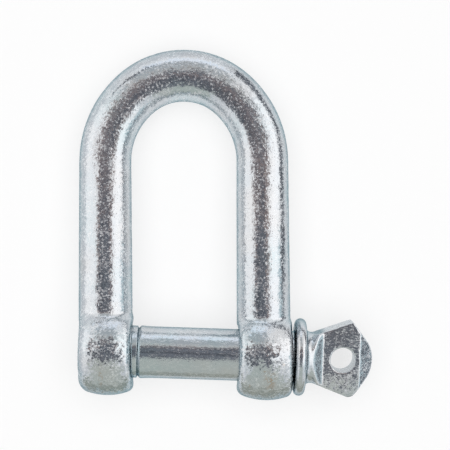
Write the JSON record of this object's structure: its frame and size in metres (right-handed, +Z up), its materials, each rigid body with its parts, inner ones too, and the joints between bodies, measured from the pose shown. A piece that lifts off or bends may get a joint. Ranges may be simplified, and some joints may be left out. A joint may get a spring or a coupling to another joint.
{
  "type": "chain shackle",
  "caption": "Zinc-plated D-shaped chain shackle: a forged round-bar bow with barrel-shaped eyes, closed by a screw pin with a collar and a drilled lug for turning and wiring it.",
  "frame": {"origin": "on the pin's axis, halfway between the two eyes", "axes": "+X along the pin towards its head, +Y along the floor towards the crown, +Z up from the floor the part lies on"},
  "size_m": [0.0913, 0.1061, 0.027],
  "materials": {
    "zinc_plate": "bright zinc plate, semi-gloss, finely mottled"
  },
  "bodies": {
    "bow": {"bow": "zinc_plate"},
    "pin": {"screw_pin": "zinc_plate"}
  },
  "joints": [
    {"name": "pin_slide", "type": "slide", "parent": "bow", "child": "pin", "axis": [1, 0, 0], "range_m": [0, 0.07]}
  ]
}
